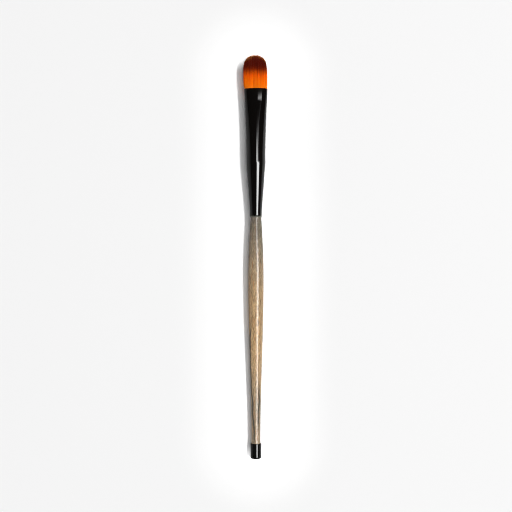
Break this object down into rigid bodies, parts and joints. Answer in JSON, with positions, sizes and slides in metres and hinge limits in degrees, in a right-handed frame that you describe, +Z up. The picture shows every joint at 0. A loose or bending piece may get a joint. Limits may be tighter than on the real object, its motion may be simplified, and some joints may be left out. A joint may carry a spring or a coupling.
{
  "type": "eyeshadow brush",
  "caption": "Slim cosmetic brush with a flat round-ended filament tuft, a pressed tapering metal ferrule, a turned wooden handle and a small end cap.",
  "frame": {"origin": "on the surface that the brush lies on, under the middle of its length and width", "axes": "+Y along the brush towards the tuft, +Z up from the surface, +X to the right across the flat of the tuft; the axis of the brush rises 0.8 degrees towards the tuft, as it does at rest"},
  "size_m": [0.01, 0.17, 0.008],
  "materials": {
    "filaments": "fine dyed synthetic filaments, orange at the root and dark burgundy brown at the tips",
    "thread": "plain undyed thread",
    "glue": "clear to amber set epoxy",
    "ferrule_lacquer": "gloss black lacquer on drawn metal",
    "cap_lacquer": "gloss black lacquer on drawn metal",
    "lacquered_wood": "straight-grained wood under clear gloss lacquer"
  },
  "bodies": {
    "root": {"end_cap": "cap_lacquer", "cap_glue": "glue", "handle": "lacquered_wood", "tenon_glue": "glue", "ferrule": "ferrule_lacquer", "glue_plug": "glue", "root_binding": "thread", "filament_tuft": "filaments"}
  },
  "joints": []
}
